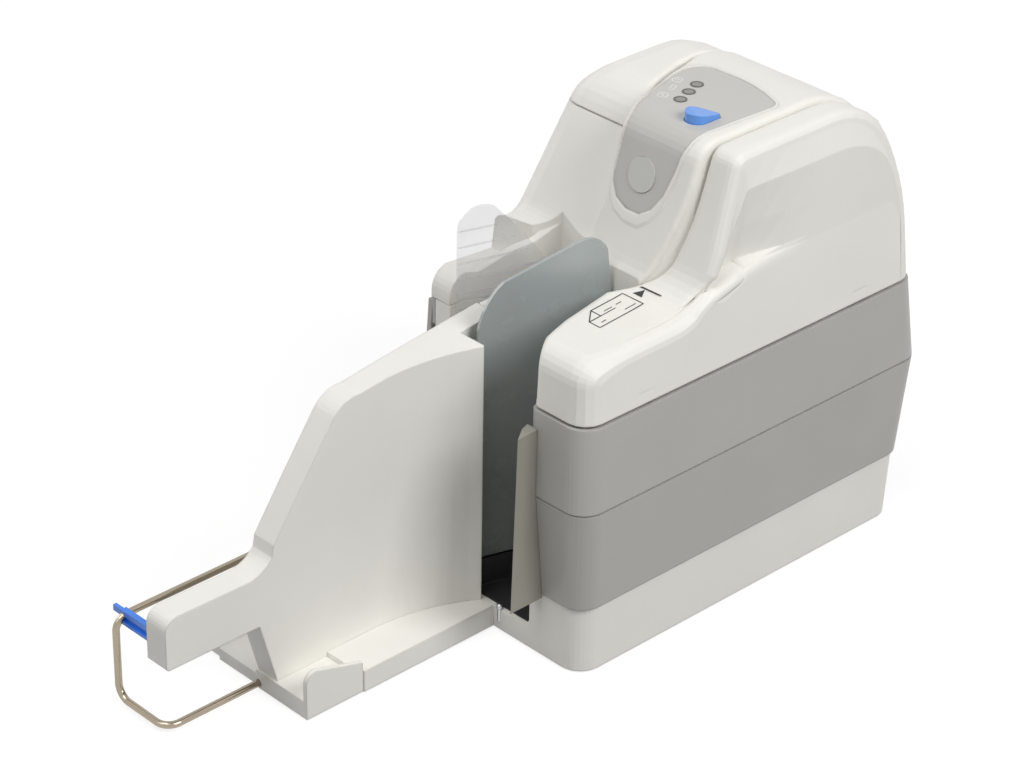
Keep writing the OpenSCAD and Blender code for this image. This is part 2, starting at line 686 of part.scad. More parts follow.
// radius of the back edge, on the slope and along the roof
r_back_slope = 10;
r_back_roof = 16;
r_foot = [60.6, 140.5];
r_fillet = 12;
r_crown = 22;
r_slope_from = [r_foot[0] + r_fillet * sin(r_slope), r_foot[1] + r_fillet * (1 - cos(r_slope))];
r_slope_z = roof_z - r_crown * (1 - cos(r_slope));
r_slope_to = [r_slope_from[0] + (r_slope_z - r_slope_from[1]) / tan(r_slope), r_slope_z];
rear_path = concat(
    [[50, seam_z], [50, 140.2], [56, 140.4]],
    arc(r_foot[0], r_foot[1] + r_fillet, r_fillet, r_fillet, -90, r_slope - 90, 6),
    [for (t = [0.25, 0.5, 0.75]) [lerp(r_slope_from[0], r_slope_to[0], t),
        lerp(r_slope_from[1], r_slope_to[1], t)]],
    arc(r_slope_to[0] + r_crown * sin(r_slope), roof_z - r_crown, r_crown, r_crown, 90 + r_slope, 90, 6),
    [[120, roof_z], [128, roof_z]],
    end_curve(roof_z));

// radius of the back edge along the body, from the seam's foot to the roof
function rear_radius(u) = lerp(1, lerp(r_back_slope, r_back_roof, smooth((u - 92) / 16)),
    smooth((u - 56) / 12));

module rear_block(t) {
    translate([-0.8, 0, 0]) grid_solid(plain_grid(shifted(rear_path, t), seam_z,
        function(u, z) along(rear_front, u) + t, function(u, z) rear_lean(z) - t,
        function(u) u < 60 ? 0.5 : max(0.4, 2.5 - t), function(u) max(0.4, rear_radius(u) - t)));
}

// prism of the rear housing in plan, right of the pocket
module rear_prism() {
    polygon([[66, 40], [66, 66.6], [67, 68], [68, 74], [71, 87], [63, 96.5], [60.2, 118], [60, 140],
        [220, 140], [220, 40]]);
}

lid_hinge = [cover_w - 20.6, r_split + 0.1];
lid_knuckle_r = 1.4;

module lid_knuckle(y, l, web) {
    translate([lid_hinge[0], y, lid_hinge[1]]) rotate([-90, 0, 0]) cylinder(r = lid_knuckle_r, h = l);
    translate([lid_hinge[0] + web[0], y, lid_hinge[1] + web[1]]) cube([web[2], l, web[3]]);
}

module lid_axis(r) {
    translate([lid_hinge[0], 60, lid_hinge[1]]) rotate([-90, 0, 0]) cylinder(r = r, h = 60);
}

module rear_housing() {
    color(white) at_corner() difference() {
        union() {
            difference() {
                intersection() {
                    rear_block(0);
                    linear_extrude(r_split - 0.3) rear_prism();
                }
                intersection() {
                    rear_block(wall);
                    translate([90, 70, 113]) cube([200, 34, 200]);
                }
                lid_axis(lid_knuckle_r + 0.3);
            }
            lid_knuckle(93, 6, [-1.2, -3, 2, 3]);
            intersection() {
                translate([0, body_d - 0.8, 0]) rotate([90, 0, 0]) linear_extrude(40)
                    polygon(concat([[28, seam_z + 0.3]], arc(37, seam_z + 3.3, 9, 9.5, 180, 100, 6), [[80, 122],
                        [80, seam_z + 0.3]]));
                linear_extrude(300)
                    polygon([[20, 106.25], [36, 106.25], [71.6, 86.93], [78, 90], [78, 119], [20, 119]]);
            }
            intersection() {
                translate([0, body_d - 0.8, 0]) rotate([90, 0, 0]) linear_extrude(40)
                    polygon([[36, 116], [36, 122], [43, 126], [54, 133], [62, 136], [71, 143], [78, 148],
                        [78, 116]]);
                linear_extrude(300) polygon([[36, 106.25], [71.6, 86.93], [74, 89.5], [37.6, 109.1]]);
            }
        }
        translate([lid_hinge[0], 90, lid_hinge[1]]) rotate([-90, 0, 0])
            cylinder(d = pin_d + 2 * run_clear, h = 12);
    }
}

module printer_cover() {
    color(white) at_corner() difference() {
        union() {
            difference() {
                intersection() {
                    rear_block(0);
                    translate([0, 0, r_split + 0.3]) cube([300, 300, 100]);
                }
                rear_block(wall);
                lid_axis(lid_knuckle_r + 0.3);
            }
            lid_knuckle(86.6, 6, [-3, 0.4, 3, 1]);
            lid_knuckle(99.4, 6, [-3, 0.4, 3, 1]);
        }
        translate([lid_hinge[0], 80, lid_hinge[1]]) rotate([-90, 0, 0]) cylinder(d = pin_d, h = 40);
    }
}

module lid_hinge_pin() {
    color(steel) at_corner() translate([lid_hinge[0], 86.6, lid_hinge[1]]) rotate([-90, 0, 0])
        cylinder(d = pin_d, h = 18.8);
}

// Track walls.

module outer_track_wall() {
    color(white) at_corner() difference() {
        translate([0, 0, casing_floor]) linear_extrude(seam_z - casing_floor) strip(outer_path, track_wall);
        translate([feed_c[0], feed_c[1], 38]) cylinder(r = 12.6, h = 28);
        for (x = [left_x, right_x]) translate([x, pinch_y, 38]) cylinder(r = pinch_r + 0.6, h = 20);
        translate([exit_pinch_c[0], exit_pinch_c[1], 38]) cylinder(r = pinch_r + 0.6, h = 20);
        translate([112, 30, 13]) cube([12, 20, 93]);
        translate([128, 30, 13]) cube([8, 20, 19]);
        translate([100, 71.6, 13]) rotate([0, 0, 17.5]) translate([-6, -6, 0]) cube([12, 20, 93]);
    }
}

// black lining of the slot's floor, with a low wall under the smoke plate
module slot_liner() {
    color(dark) at_corner() {
        translate([0, 0, floor_z]) linear_extrude(0.6)
            polygon([[1.8, 31.2], [10, 34.6], [22, 38.2], [34, 40.2], [50, 42.4], [58, 42.4], [58, 46.8],
                [4.6, 62.4], [1.8, 62.4]]);
        translate([0, 0, floor_z]) linear_extrude(plate_low_z - 1.2 - floor_z)
            polygon([[5, 63.2], [58, 47.4], [58, 49], [5, 64.8]]);
    }
}

// metal locating pin at the mouth of the slot
pin_at = [0, 45.6];

module guide_pin() {
    color(steel) at_corner() translate([pin_at[0], pin_at[1], 0]) {
        translate([0, 0, 5]) cylinder(r = 1, h = 6);
        translate([0, 0, floor_z + 1]) sphere(r = 1.4);
    }
}

module inner_track_wall() {
    color(white) at_corner() difference() {
        translate([0, 0, casing_floor]) linear_extrude(seam_z - casing_floor) strip(inner_path, -track_wall);
        for (x = [left_x, right_x]) translate([x, drive_y, 38]) cylinder(r = drive_r + 0.6, h = 20);
        translate([exit_c[0], exit_c[1], 38]) cylinder(r = drive_r + 0.6, h = 20);
        translate([64, 40, 38]) cube([12, 8, 28]);
        translate([left_x - 6.3, 44, 82.6]) cube([right_x - left_x + 12.6, 4, 9.2]);
        for (c = [[right_x, drive_y], exit_c]) translate([c[0], c[1], 71.6]) cylinder(r = 6.4, h = 9.2);
    }
}

module separator_pad() {
    color(rubber) at_corner() translate([64, track_y + 1.6 + roller_gap, 38]) cube([12, 4, 28]);
}

module feed_roller() {
    color(rubber) at_corner() translate([feed_c[0], feed_c[1], 40]) difference() {
        cylinder(r = 12, h = 24);
        translate([0, 0, -1]) cylinder(d = shaft_d, h = 30);
    }
}

module pulley_shaft(c, z, r) {
    translate([c[0], c[1], 8.2]) cylinder(d = shaft_d, h = 88);
    translate([c[0], c[1], z]) cylinder(r = r, h = 6.4);
    translate([c[0], c[1], z - 1]) cylinder(r = r + 1.4, h = 1);
    translate([c[0], c[1], z + 6.4]) cylinder(r = r + 1.4, h = 1);
}

module feed_shaft() {
    color(steel) at_corner() pulley_shaft(feed_c, 84, pulley_r);
}

module drive_tyre(c) {
    translate([c[0], c[1], 40]) difference() {
        cylinder(r = drive_r, h = 16);
        translate([0, 0, -1]) cylinder(d = shaft_d, h = 30);
    }
}

module left_drive_roller() {
    color(rubber) at_corner() drive_tyre([left_x, drive_y]);
}

module left_drive_shaft() {
    color(steel) at_corner() pulley_shaft([left_x, drive_y], 84, pulley_r);
}

module right_drive_roller() {
    color(rubber) at_corner() drive_tyre([right_x, drive_y]);
}

module right_drive_shaft() {
    color(steel) at_corner() {
        pulley_shaft([right_x, drive_y], 84, pulley_r);
        translate([right_x, drive_y, 73]) cylinder(r = pulley_r, h = 6.4);
    }
}

module exit_roller() {
    color(rubber) at_corner() drive_tyre(exit_c);
}

module exit_shaft() {
    color(steel) at_corner() pulley_shaft(exit_c, 73, pulley_r);
}

module pinch_tyre(c) {
    translate([c[0], c[1], 40]) difference() {
        cylinder(r = pinch_r, h = 16);
        translate([0, 0, -1]) cylinder(d = 3 + 2 * run_clear, h = 30);
    }
}

module left_pinch_roller() {
    color(dark) at_corner() pinch_tyre([left_x, pinch_y]);
}

module right_pinch_roller() {
    color(dark) at_corner() pinch_tyre([right_x, pinch_y]);
}

module exit_pinch_roller() {
    color(dark) at_corner() pinch_tyre(exit_pinch_c);
}

module pinch_axles() {
    color(steel) at_corner() each_pinch() {
        translate([0, 0, 9]) cylinder(d = 4.6, h = 30.7);
        translate([0, 0, 39]) cylinder(d = 3, h = 22);
    }
}

module drive_motor() {
    color(steel) at_corner() translate([motor_c[0], motor_c[1], casing_floor - 1]) cylinder(r = 9, h = 46);
}

module feed_motor() {
    color(steel) at_corner() translate([feed_motor_c[0], feed_motor_c[1], casing_floor - 1])
        cylinder(r = 11, h = 46);
}

module motor_shaft(c) {
    translate([c[0], c[1], casing_floor + 45.2]) cylinder(d = 3, h = 33);
    translate([c[0], c[1], 84]) cylinder(r = motor_pulley_r, h = 6.4);
}

module drive_pulley() {
    color(copper) at_corner() motor_shaft(motor_c);
}

module feed_pulley() {
    color(copper) at_corner() motor_shaft(feed_motor_c);
}

// belt round pulleys given as [centre, radius]
module belt(z, pulleys) {
    translate([0, 0, z + 0.4]) linear_extrude(5.6) difference() {
        hull() for (q = pulleys) translate(q[0]) circle(q[1] + 0.3 + 1.1);
        hull() for (q = pulleys) translate(q[0]) circle(q[1] + 0.3);
    }
}

module drive_belt() {
    color(rubber) at_corner() belt(84, [[[left_x, drive_y], pulley_r], [[right_x, drive_y], pulley_r],
        [motor_c, motor_pulley_r]]);
}

module feed_belt() {
    color(rubber) at_corner() belt(84, [[feed_c, pulley_r], [feed_motor_c, motor_pulley_r]]);
}

module exit_belt() {
    color(rubber) at_corner() belt(73, [[[right_x, drive_y], pulley_r], [exit_c, pulley_r]]);
}

// Sensors, boards and connectors.

module front_sensor() {
    color(dark) at_corner() translate([112, 29.2, casing_floor]) cube([12, 12, 92]);
}

module rear_sensor() {
    color(dark) at_corner() translate([100, 71.6, casing_floor]) rotate([0, 0, 17.5]) translate([-6, 0, 0])
        cube([12, 12, 92]);
}

module magnetic_head() {
    color(steel) at_corner() translate([128, 31.2, casing_floor]) cube([8, 10, 18]);
}

module main_board() {
    color(green) at_corner() translate([66, body_d - 7.8, 18]) cube([body_w - 82, 1.6, seam_z - 41.2]);
}

module board_posts() {
    color(white) at_corner() for (x = [72, body_w - 22]) {
        translate([x - 3, body_d - 10.8, casing_floor]) cube([6, 3, seam_z - 39.2]);
    }
}

module usb_socket() {
    color(steel) at_corner() translate([usb_at[0] - 6, body_d - 6.2, usb_at[1] - 5.5]) difference() {
        cube([12, 8.4, 11]);
        translate([1.6, 2, 1.6]) cube([8.8, 8, 7.8]);
    }
}

module power_inlet() {
    color(dark) at_corner() translate([power_at[0], body_d + 2.4, power_at[1]]) rotate([90, 0, 0]) {
        difference() {
            cylinder(d = 9, h = 8.6);
            translate([0, 0, -1]) cylinder(d = 5.5, h = 7.6);
        }
        cylinder(d = 2, h = 7);
    }
}

module cartridge_holder() {
    color(dark) at_corner() translate([116, 86, 113]) difference() {
        cube([30, 17, 30]);
        translate([1.5, 1.5, 1.5]) cube([27, 14, 40]);
    }
}

module print_cartridge() {
    color(dark) at_corner() translate([117.5, 87.5, 114.5]) cube([27, 14, 56]);
}

module indicator_board() {
    color(green) at_corner() translate([84, 30, 190.4]) cube([44, 34, 1.6]);
}

module indicator_lenses() {
    color(clear) at_corner() for (q = led_at) translate([q[0], q[1], 192]) cylinder(d = 4, h = 7.4);
}

module button_switch() {
    color(dark) at_corner() {
        translate([button_c[0] - 3, button_c[1] - 3, 192]) cube([6, 6, 3]);
    }
}

module feed_button() {
    color(button_blue) at_corner() {
        difference() {
            translate([0, 0, 196.6]) linear_extrude(6.4) button_plan(0);
            translate([button_c[0], button_c[1], 202.6]) rotate([0, 0, button_turn]) rotate([0, 12, 0])
                translate([-20, -20, 0]) cube([60, 40, 20]);
        }
    }
}

module rubber_feet() {
    color(rubber) at_corner() for (f = feet) translate([f[0], f[1], 0]) cylinder(d = 12, h = 2.8);
}

module base_screws() {
    color(steel) at_corner() for (q = screws) translate([q[0], q[1], 1.2]) difference() {
        cylinder(d = 6, h = 2.8);
        translate([-2, -0.5, -1]) cube([4, 1, 2]);
        translate([-0.5, -2, -1]) cube([1, 4, 2]);
    }
}

// Guide plates.

// moves an upright sheet drawn in x and z so that it runs from a to b in plan
module stand_between(a, b, t) {
    translate([a[0], a[1], 0]) rotate([90, 0, atan2(b[1] - a[1], b[0] - a[0])])
        translate([0, 0, -t / 2]) linear_extrude(t) children();
}

// height of the smoke plate's lower edge over the desk
plate_low_z = 24;

module feeder_plate() {
    color(smoke) at_corner() difference() {
        union() {
            stand_between(feeder_from, feeder_to, 1.6)
                polygon(concat([[1.6, plate_low_z]], arc(23.4, 120, 22, 30, 165, 118, 6), [[44, 156.5]],
                    arc(49, 148, 9.5, 9.5, 110, 20, 6), [[60.6, 128], [60.6, plate_low_z]]));
            translate([feeder_from[0], feeder_from[1], floor_z + 0.8]) cylinder(r = 2.1, h = 112);
        }
        translate([feeder_from[0], feeder_from[1], 0]) cylinder(d = post_d + 2 * run_clear, h = 119);
    }
}

module exit_guide() {
    color(clear) at_corner() difference() {
        union() {
            stand_between(guide_from, guide_to, 1.2)
                polygon(concat([[0, floor_z + 0.4]], arc(10.5, 149, 10.5, 10.5, 180, 62, 8), [[26.2, 146.6],
                    [guide_l, 132], [guide_l, floor_z + 0.4]]));
            translate([guide_to[0], guide_to[1], floor_z + 0.8]) cylinder(r = 2.1, h = 116);
        }
        translate([guide_to[0], guide_to[1], 0]) cylinder(d = post_d + 2 * run_clear, h = 123);
    }
}

module plate_posts() {
    color(steel) at_corner() {
        translate([feeder_from[0], feeder_from[1], 6]) cylinder(d = post_d, h = 112);
        translate([guide_to[0], guide_to[1], 6]) cylinder(d = post_d, h = 116);
    }
}

// Wire stop.

wire_path = [[-50, wire_y, wire_low_z], [wire_x, wire_y, wire_low_z], [wire_x, wire_back_y, wire_low_z],
    [wire_x, wire_back_y, wire_high_z], [-60, wire_back_y, wire_high_z]];

// straight rod between two points
module rod(a, b, d) {
    v = b - a;
    l = norm(v);
    translate(a) rotate([0, acos(v[2] / l), atan2(v[1], v[0])]) cylinder(d = d, h = l);
}

// bend of a rod at point p, from direction a to direction b at right angles
module rod_bend(p, a, b, d, r) {
    c = cross(a, b);
    multmatrix([[a[0], b[0], c[0], p[0] - (a[0] - b[0]) * r],
        [a[1], b[1], c[1], p[1] - (a[1] - b[1]) * r],
        [a[2], b[2], c[2], p[2] - (a[2] - b[2]) * r],
        [0, 0, 0, 1]])
        rotate([0, 0, -90]) rotate_extrude(angle = 90) translate([r, 0]) circle(d = d);
}

module bent_wire(d) {
    n = len(wire_path);
    dirs = [for (i = [0 : n - 2]) let (d = wire_path[i + 1] - wire_path[i]) d / norm(d)];
    for (i = [0 : n - 2])
        rod(wire_path[i] + dirs[i] * (i > 0 ? bend_r : 0),
            wire_path[i + 1] - dirs[i] * (i < n - 2 ? bend_r : 0), d);
    for (i = [1 : n - 2])
        rod_bend(wire_path[i], dirs[i - 1], dirs[i], d, bend_r);
}

module wire_stop() {
    color(nickel) at_corner() bent_wire(wire_d);
}

module stop_clip() {
    color(blue) at_corner() difference() {
        translate([wire_x + 3.2, wire_back_y - 25, wire_high_z]) difference() {
            union() {
                translate([0, 0, -4]) cube([2.6, 25.6, 6.5]);
                translate([0, 20, -0.2]) cube([1.6, 10.4, 2.7]);
            }
            translate([-1, -1, -2.6]) cube([2.2, 24.6, 2.8]);
        }
        bent_wire(wire_d + 0.1);
    }
}

base_casing();
lower_band();
upper_band();
tray();
tray_end();
divider_arm();
feeder_lip();
front_cover();
cover_hinge_pins();
centre_housing();
control_panel();
rear_housing();
printer_cover();
lid_hinge_pin();
feed_button();
button_switch();
indicator_lenses();
indicator_board();
panel_badge();
slot_liner();
guide_pin();
outer_track_wall();
inner_track_wall();
separator_pad();
feed_roller();
feed_shaft();
left_drive_roller();
left_drive_shaft();
right_drive_roller();
right_drive_shaft();
exit_roller();
exit_shaft();
left_pinch_roller();
right_pinch_roller();
exit_pinch_roller();
pinch_axles();
drive_motor();
drive_pulley();
drive_belt();
feed_motor();
feed_pulley();
feed_belt();
exit_belt();
front_sensor();
rear_sensor();
magnetic_head();
main_board();
board_posts();
usb_socket();
power_inlet();
cartridge_holder();
print_cartridge();
feeder_plate();
exit_guide();
plate_posts();
wire_stop();
stop_clip();
rubber_feet();
base_screws();
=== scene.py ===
import json
import math

import bpy
from mathutils import Matrix, Vector


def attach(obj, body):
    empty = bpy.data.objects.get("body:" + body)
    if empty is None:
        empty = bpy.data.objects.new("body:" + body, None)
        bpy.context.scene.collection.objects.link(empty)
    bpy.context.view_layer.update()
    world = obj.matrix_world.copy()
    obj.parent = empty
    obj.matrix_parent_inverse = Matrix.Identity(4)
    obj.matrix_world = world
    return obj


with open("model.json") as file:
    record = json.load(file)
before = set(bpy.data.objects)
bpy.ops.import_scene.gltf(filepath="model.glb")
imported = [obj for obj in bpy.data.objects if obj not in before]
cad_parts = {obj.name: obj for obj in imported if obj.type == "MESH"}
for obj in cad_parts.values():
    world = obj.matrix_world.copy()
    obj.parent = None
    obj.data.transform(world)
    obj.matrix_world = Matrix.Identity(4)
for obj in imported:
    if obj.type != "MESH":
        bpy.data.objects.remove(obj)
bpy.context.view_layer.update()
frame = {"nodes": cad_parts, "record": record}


BODY_W = 186.0
BODY_D = 118.0
UP = Vector((0, 0, 1))
X = Vector((1, 0, 0))
Y = Vector((0, 1, 0))


def at(x, y, z):
    """A point measured in millimetres from the body's front left corner, in the shared frame."""
    return Vector(((x - BODY_W / 2) / 1000, (y - BODY_D / 2) / 1000, z / 1000))


def linear(colour):
    """Screen colour 0..255 (sRGB) to the linear value that a shader takes."""
    out = []
    for c in colour:
        s = c / 255
        out.append(s / 12.92 if s <= 0.04045 else ((s + 0.055) / 1.055) ** 2.4)
    return out + [1.0]


# Materials. A noise pattern is its scale and its detail.
TINT_NOISE = (22, 3)
ROUGH_NOISE = (60, 4)
GRAIN_NOISE = (900, 2)
SHEET_NOISE = (80, 3)
HAZE_NOISE = (14, 2)
NOISE_LOW, NOISE_HIGH = 0.3, 0.7
ROUGH_SPREAD = 0.05
GRAIN_DEPTH = 0.0002
PLASTIC_IOR = 1.46
SHEET_TINT = 0.03
SHEET_SPREAD = 0.3
HAZE_SPREAD = 0.07
# Haze share at the bottom of a sheet with painted shade: less haze there shows more dark tint.
PAINTED_SHADE_HAZE = 0.55
SHINE_ROUGH = 0.5
SHINE_BLEND = 0.08


def new_material(name):
    mat = bpy.data.materials.new(name)
    mat.use_nodes = True
    nodes = mat.node_tree.nodes
    nodes.clear()
    out = nodes.new("ShaderNodeOutputMaterial")
    return mat, nodes, mat.node_tree.links, out


def mapped(nodes, links, value, from_low, from_high, low, high):
    """A value brought from one range to another."""
    span = nodes.new("ShaderNodeMapRange")
    span.inputs["From Min"].default_value = from_low
    span.inputs["From Max"].default_value = from_high
    span.inputs["To Min"].default_value = low
    span.inputs["To Max"].default_value = high
    links.new(value, span.inputs["Value"])
    return span.outputs["Result"]


def combined(nodes, links, operation, first, second):
    """Two values joined by one operation."""
    joint = nodes.new("ShaderNodeMath")
    joint.operation = operation
    links.new(first, joint.inputs[0])
    links.new(second, joint.inputs[1])
    return joint.outputs["Value"]


def mixed(nodes, links, share, first, second):
    """Two shaders mixed: the first where the share is 0, the second where it is 1."""
    mix = nodes.new("ShaderNodeMixShader")
    links.new(share, mix.inputs["Fac"])
    links.new(first, mix.inputs[1])
    links.new(second, mix.inputs[2])
    return mix.outputs["Shader"]


def noise(nodes, links, pattern, low, high):
    """Object-space noise mapped to low..high."""
    place = nodes.new("ShaderNodeTexCoord")
    tex = nodes.new("ShaderNodeTexNoise")
    tex.inputs["Scale"].default_value, tex.inputs["Detail"].default_value = pattern
    links.new(place.outputs["Object"], tex.inputs["Vector"])
    return mapped(nodes, links, tex.outputs["Fac"], NOISE_LOW, NOISE_HIGH, low, high)


def by_height(nodes, links, z_low, z_high, low, high):
    """A value that goes from low to high between two heights in millimetres."""
    place = nodes.new("ShaderNodeTexCoord")
    parts = nodes.new("ShaderNodeSeparateXYZ")
    links.new(place.outputs["Object"], parts.inputs["Vector"])
    return mapped(nodes, links, parts.outputs["Z"], z_low / 1000, z_high / 1000, low, high)


def tinted(nodes, links, colour, amount):
    """The colour, a little lighter and darker from place to place."""
    mix = nodes.new("ShaderNodeMix")
    mix.data_type = "RGBA"
    base = linear(colour)[:3]
    mix.inputs["A"].default_value = [c * (1 - amount) for c in base] + [1]
    mix.inputs["B"].default_value = [min(1, c * (1 + amount)) for c in base] + [1]
    links.new(noise(nodes, links, TINT_NOISE, 0, 1), mix.inputs["Factor"])
    return mix.outputs["Result"]


def surface(name, colour, rough, bump=0.02, edge=0.0004, metal=0.0, coat=0.0, vary=0.02):
    """A solid finish: tinted colour, uneven roughness, fine grain and softened edges."""
    mat, nodes, links, out = new_material(name)
    shader = nodes.new("ShaderNodeBsdfPrincipled")
    links.new(tinted(nodes, links, colour, vary), shader.inputs["Base Color"])
    links.new(noise(nodes, links, ROUGH_NOISE, rough - ROUGH_SPREAD, rough + ROUGH_SPREAD),
              shader.inputs["Roughness"])
    shader.inputs["Metallic"].default_value = metal
    shader.inputs["IOR"].default_value = PLASTIC_IOR
    shader.inputs["Coat Weight"].default_value = coat
    relief = nodes.new("ShaderNodeBump")
    relief.inputs["Strength"].default_value = bump
    relief.inputs["Distance"].default_value = GRAIN_DEPTH
    links.new(noise(nodes, links, GRAIN_NOISE, 0, 1), relief.inputs["Height"])
    if edge > 0:
        bevel = nodes.new("ShaderNodeBevel")
        bevel.samples = 4
        bevel.inputs["Radius"].default_value = edge
        links.new(bevel.outputs["Normal"], relief.inputs["Normal"])
    links.new(relief.outputs["Normal"], shader.inputs["Normal"])
    links.new(shader.outputs["BSDF"], out.inputs["Surface"])
    return mat


def sheet_plastic(name, tint, body, haze, rough, painted_shade_heights=None):
    """A thin see-through sheet: it lets light straight through, tinted, with some haze and shine. A sheet
    with two heights (z_low, z_high) is clearer below them, so more of its dark tint shows low down: painted
    shade, darker towards the bottom."""
    mat, nodes, links, out = new_material(name)
    through = nodes.new("ShaderNodeBsdfTransparent")
    through.inputs["Color"].default_value = linear(tint)
    solid = nodes.new("ShaderNodeBsdfPrincipled")
    links.new(tinted(nodes, links, body, SHEET_TINT), solid.inputs["Base Color"])
    links.new(noise(nodes, links, SHEET_NOISE, rough * (1 - SHEET_SPREAD), rough * (1 + SHEET_SPREAD)),
              solid.inputs["Roughness"])
    cloud = noise(nodes, links, HAZE_NOISE, haze * (1 - HAZE_SPREAD), haze * (1 + HAZE_SPREAD))
    if painted_shade_heights:
        # Painted shade: the haze falls off below the given heights, so the sheet shows darker towards the
        # bottom.
        cloud = combined(nodes, links, "MULTIPLY", cloud, by_height(nodes, links, *painted_shade_heights, PAINTED_SHADE_HAZE, 1.0))
    veil = mixed(nodes, links, cloud, through.outputs["BSDF"], solid.outputs["BSDF"])
    shine = nodes.new("ShaderNodeBsdfGlossy")
    shine.inputs["Roughness"].default_value = rough * SHINE_ROUGH
    slant = nodes.new("ShaderNodeLayerWeight")
    slant.inputs["Blend"].default_value = SHINE_BLEND
    top = mixed(nodes, links, slant.outputs["Facing"], veil, shine.outputs["BSDF"])
    links.new(top, out.inputs["Surface"])
    return mat


SOFT_EDGE = 0.0009
FINE_EDGE = 0.0002
SOLIDS = {
    "white_plastic": dict(colour=(243, 241, 235), rough=0.42, bump=0.03, edge=SOFT_EDGE),
    "grey_plastic": dict(colour=(183, 181, 177), rough=0.40, bump=0.03, edge=SOFT_EDGE),
    "panel_plastic": dict(colour=(202, 200, 195), rough=0.34, bump=0.015),
    "lip_plastic": dict(colour=(152, 150, 139), rough=0.42),
    "blue_plastic": dict(colour=(60, 136, 246), rough=0.28, coat=0.2, bump=0.01, edge=FINE_EDGE),
    "button_plastic": dict(colour=(98, 158, 240), rough=0.26, coat=0.25, bump=0.008),
    "nickel_wire": dict(colour=(166, 155, 138), rough=0.14, metal=1.0, edge=0, bump=0.002, vary=0.05),
    "steel": dict(colour=(180, 182, 186), rough=0.30, metal=1.0, edge=FINE_EDGE, bump=0.01),
    "brass": dict(colour=(200, 168, 92), rough=0.28, metal=1.0, edge=FINE_EDGE, bump=0.01),
    "rubber": dict(colour=(38, 38, 38), rough=0.72, bump=0.06, vary=0.08),
    "dark_plastic": dict(colour=(44, 44, 46), rough=0.48, bump=0.04, vary=0.05),
    "board_green": dict(colour=(32, 96, 58), rough=0.35, coat=0.3, vary=0.1),
    "badge_plastic": dict(colour=(206, 206, 202), rough=0.22, coat=0.3, bump=0.004),
    "ink": dict(colour=(58, 58, 60), rough=0.55, edge=0, vary=0.05),
    "pale_ink": dict(colour=(238, 238, 235), rough=0.5, edge=0, vary=0.02),
    "lamp": dict(colour=(128, 126, 118), rough=0.2, coat=0.5, edge=FINE_EDGE, bump=0.004),
    "bezel": dict(colour=(92, 90, 84), rough=0.3, edge=FINE_EDGE),
}
SHEETS = {
    # Smoke sheet: its pale blue-grey body colour is partly the sheet's own milky colour, partly a painted
    # reflection of the surroundings; its two heights make it darker towards the bottom, which is painted
    # shade.
    "smoke_plastic": dict(tint=(104, 105, 96), body=(190, 198, 198), haze=0.78, rough=0.24,
                          painted_shade_heights=(60, 160)),
    "clear_plastic": dict(tint=(248, 248, 248), body=(238, 238, 240), haze=0.14, rough=0.12),
}
MATERIALS = {name: surface(name, **look) for name, look in SOLIDS.items()}
MATERIALS.update({name: sheet_plastic(name, **look) for name, look in SHEETS.items()})

for part in frame["record"]["subparts"]:
    piece = frame["nodes"][part["node"]]
    piece.data.materials.clear()
    piece.data.materials.append(MATERIALS[part["material_slot"]])
frame["nodes"]["indicator_lenses"].data.materials[0] = MATERIALS["lamp"]

# Detail pieces. Each kind is a material, the body that it rides on and its slot.
PRINT = (MATERIALS["ink"], "front_cover", "dark_plastic")
SIGN = (MATERIALS["pale_ink"], "housing", "white_plastic")
BEZEL = (MATERIALS["bezel"], "housing", "dark_plastic")
RIB = (MATERIALS["clear_plastic"], "exit_guide", "clear_plastic")
SHELL = (MATERIALS["white_plastic"], "front_cover", "white_plastic")
MARK = 0.00012
PRINT_LIFT = 0.02
ARROW_LIFT = 0.03
SIGN_LIFT = 0.01
# Rays that look for an upper surface start here, above the whole object.
SKY_Z = 400


def mesh_piece(name, verts, faces, kind):
    material, body, slot_name = kind
    data = bpy.data.meshes.new(name)
    data.from_pydata([tuple(v) for v in verts], [], faces)
    data.update()
    obj = bpy.data.objects.new(name, data)
    bpy.context.scene.collection.objects.link(obj)
    data.materials.append(material)
    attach(obj, body)
    return obj


def plate(name, outline, lift, thick, kind, hole=()):
    """A flat mark: the outline points, pushed out along the lift direction; with a hole it is a frame."""
    n = len(outline)
    foot = list(outline) + list(hole)
    rise = lift.normalized() * thick
    faces = [] if hole else [list(range(n))[::-1], [n + k for k in range(n)]]
    for k in range(n):
        j = (k + 1) % n
        if hole:
            faces.append([2 * n + k, 2 * n + j, 3 * n + j, 3 * n + k])
            faces.append([j, k, n + k, n + j])
            faces.append([k, j, 2 * n + j, 2 * n + k])
            faces.append([n + j, n + k, 3 * n + k, 3 * n + j])
        else:
            faces.append([k, j, n + j, n + k])
    mesh_piece(name, foot + [p + rise for p in foot], faces, kind)


def stroke(name, a, b, width, lift, thick, kind):
    """A straight bar from a to b."""
    side = (b - a).normalized().cross(lift.normalized()) * width / 2
    plate(name, [a - side, b - side, b + side, a + side], lift, thick, kind)


def circle(centre, r, n=28):
    """Points round a level circle."""
    return [centre + X * (r * math.cos(2 * math.pi * k / n)) + Y * (r * math.sin(2 * math.pi * k / n))
            for k in range(n)]


def ring(name, centre, radius, width, height, kind):
    """A flat level ring: millimetres, with the radius of its hole."""
    middle = at(*centre)
    plate(name, circle(middle, (radius + width) / 1000), UP, height / 1000, kind,
          circle(middle, radius / 1000))


def on_top(node, x, y, lift=0.0):
    """The point of a CAD node's upper surface at x, y, a little above it."""
    return frame["nodes"][node].ray_cast(at(x, y, SKY_Z), -UP)[1] + UP * (lift / 1000)


